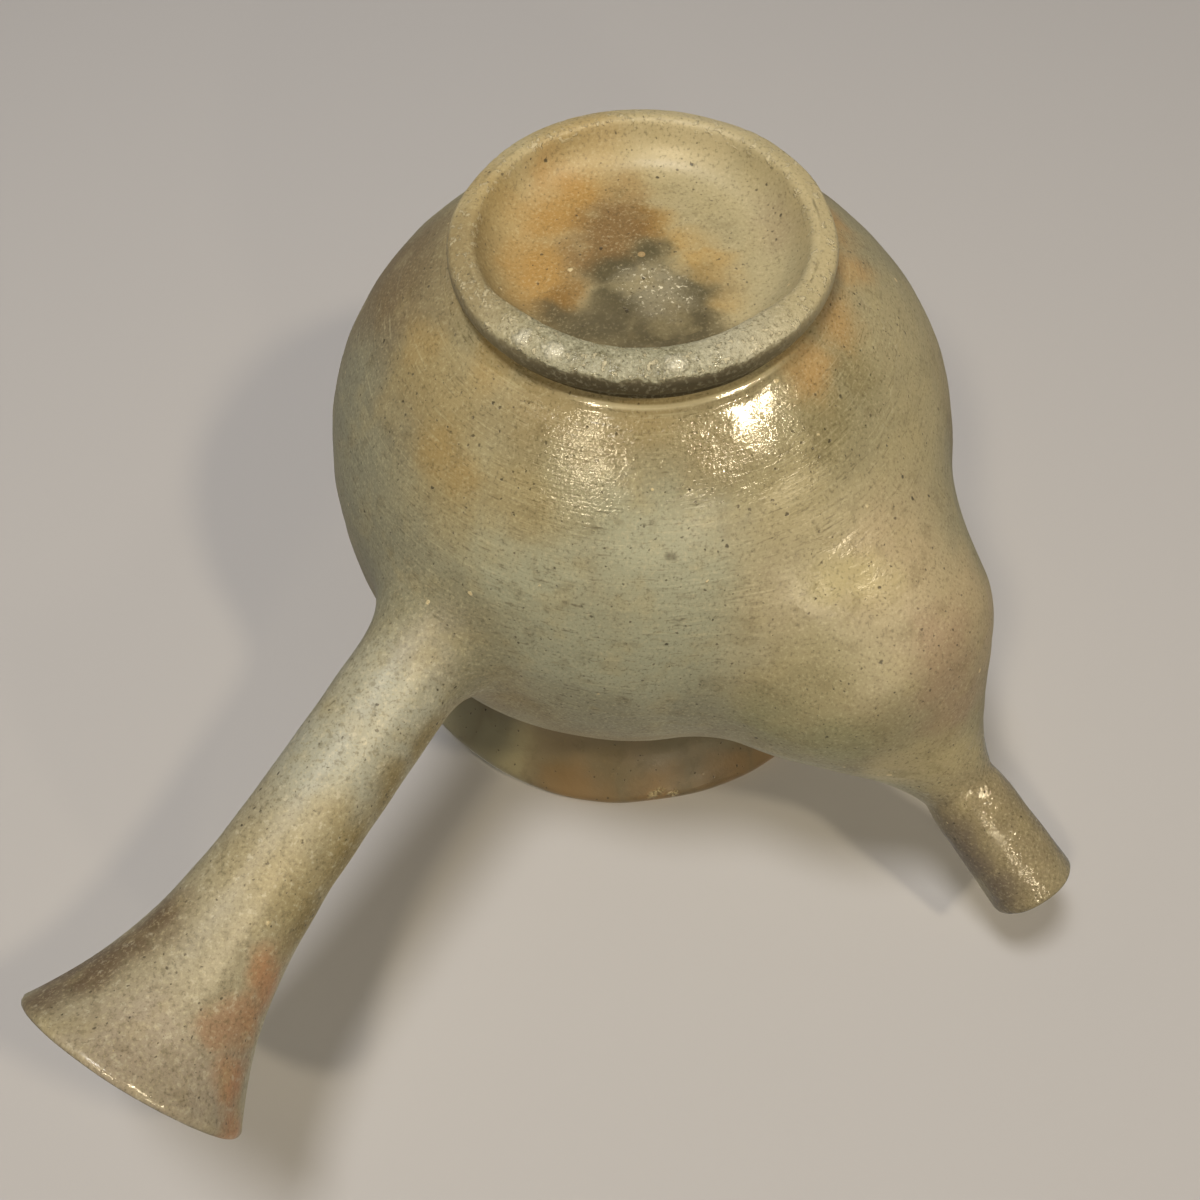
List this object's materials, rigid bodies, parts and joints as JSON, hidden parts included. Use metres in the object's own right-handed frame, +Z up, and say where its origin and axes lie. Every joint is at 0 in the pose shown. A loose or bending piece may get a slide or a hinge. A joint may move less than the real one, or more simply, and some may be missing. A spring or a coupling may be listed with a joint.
{
  "type": "side-handle teapot",
  "caption": "Round wood-fired stoneware teapot with a bulbous spout, a hollow flared side handle, a flared mouth collar, a pierced inner strainer and an inset lift-off lid.",
  "frame": {"origin": "on the surface that the teapot stands on, under the middle of its overall length and width; the pot's own axis stands at X -0.0343, Y 0.0206 and the mouth's at X -0.0315, Y 0.0208", "axes": "+Z up, -Y the way the spout faces, +X the side that the handle points to"},
  "size_m": [0.1646, 0.1372, 0.0851],
  "materials": {
    "olive_clay": "unglazed wood-fired stoneware, olive grey with orange flashing and a thin ash gloss",
    "ash_foot": "pale crusty ash on the turned foot",
    "flashed_clay": "smooth orange-brown flashed clay",
    "bare_clay": "matt bare clay inside",
    "rosy_clay": "tan clay with a pinkish blush and a satin gloss",
    "pale_clay": "pale grey-beige speckled clay"
  },
  "bodies": {
    "pot": {"body": "olive_clay", "foot_ring": "ash_foot", "strainer": "bare_clay", "spout": "rosy_clay", "handle": "pale_clay", "mouth_collar": "flashed_clay", "lid_ledge": "bare_clay"},
    "lid": {"lid": "olive_clay", "lid_flange": "bare_clay", "lid_knob": "flashed_clay"}
  },
  "joints": [
    {"name": "lid_lift", "type": "slide", "parent": "pot", "child": "lid", "axis": [0, 0, 1], "range_m": [0, 0.045]}
  ]
}
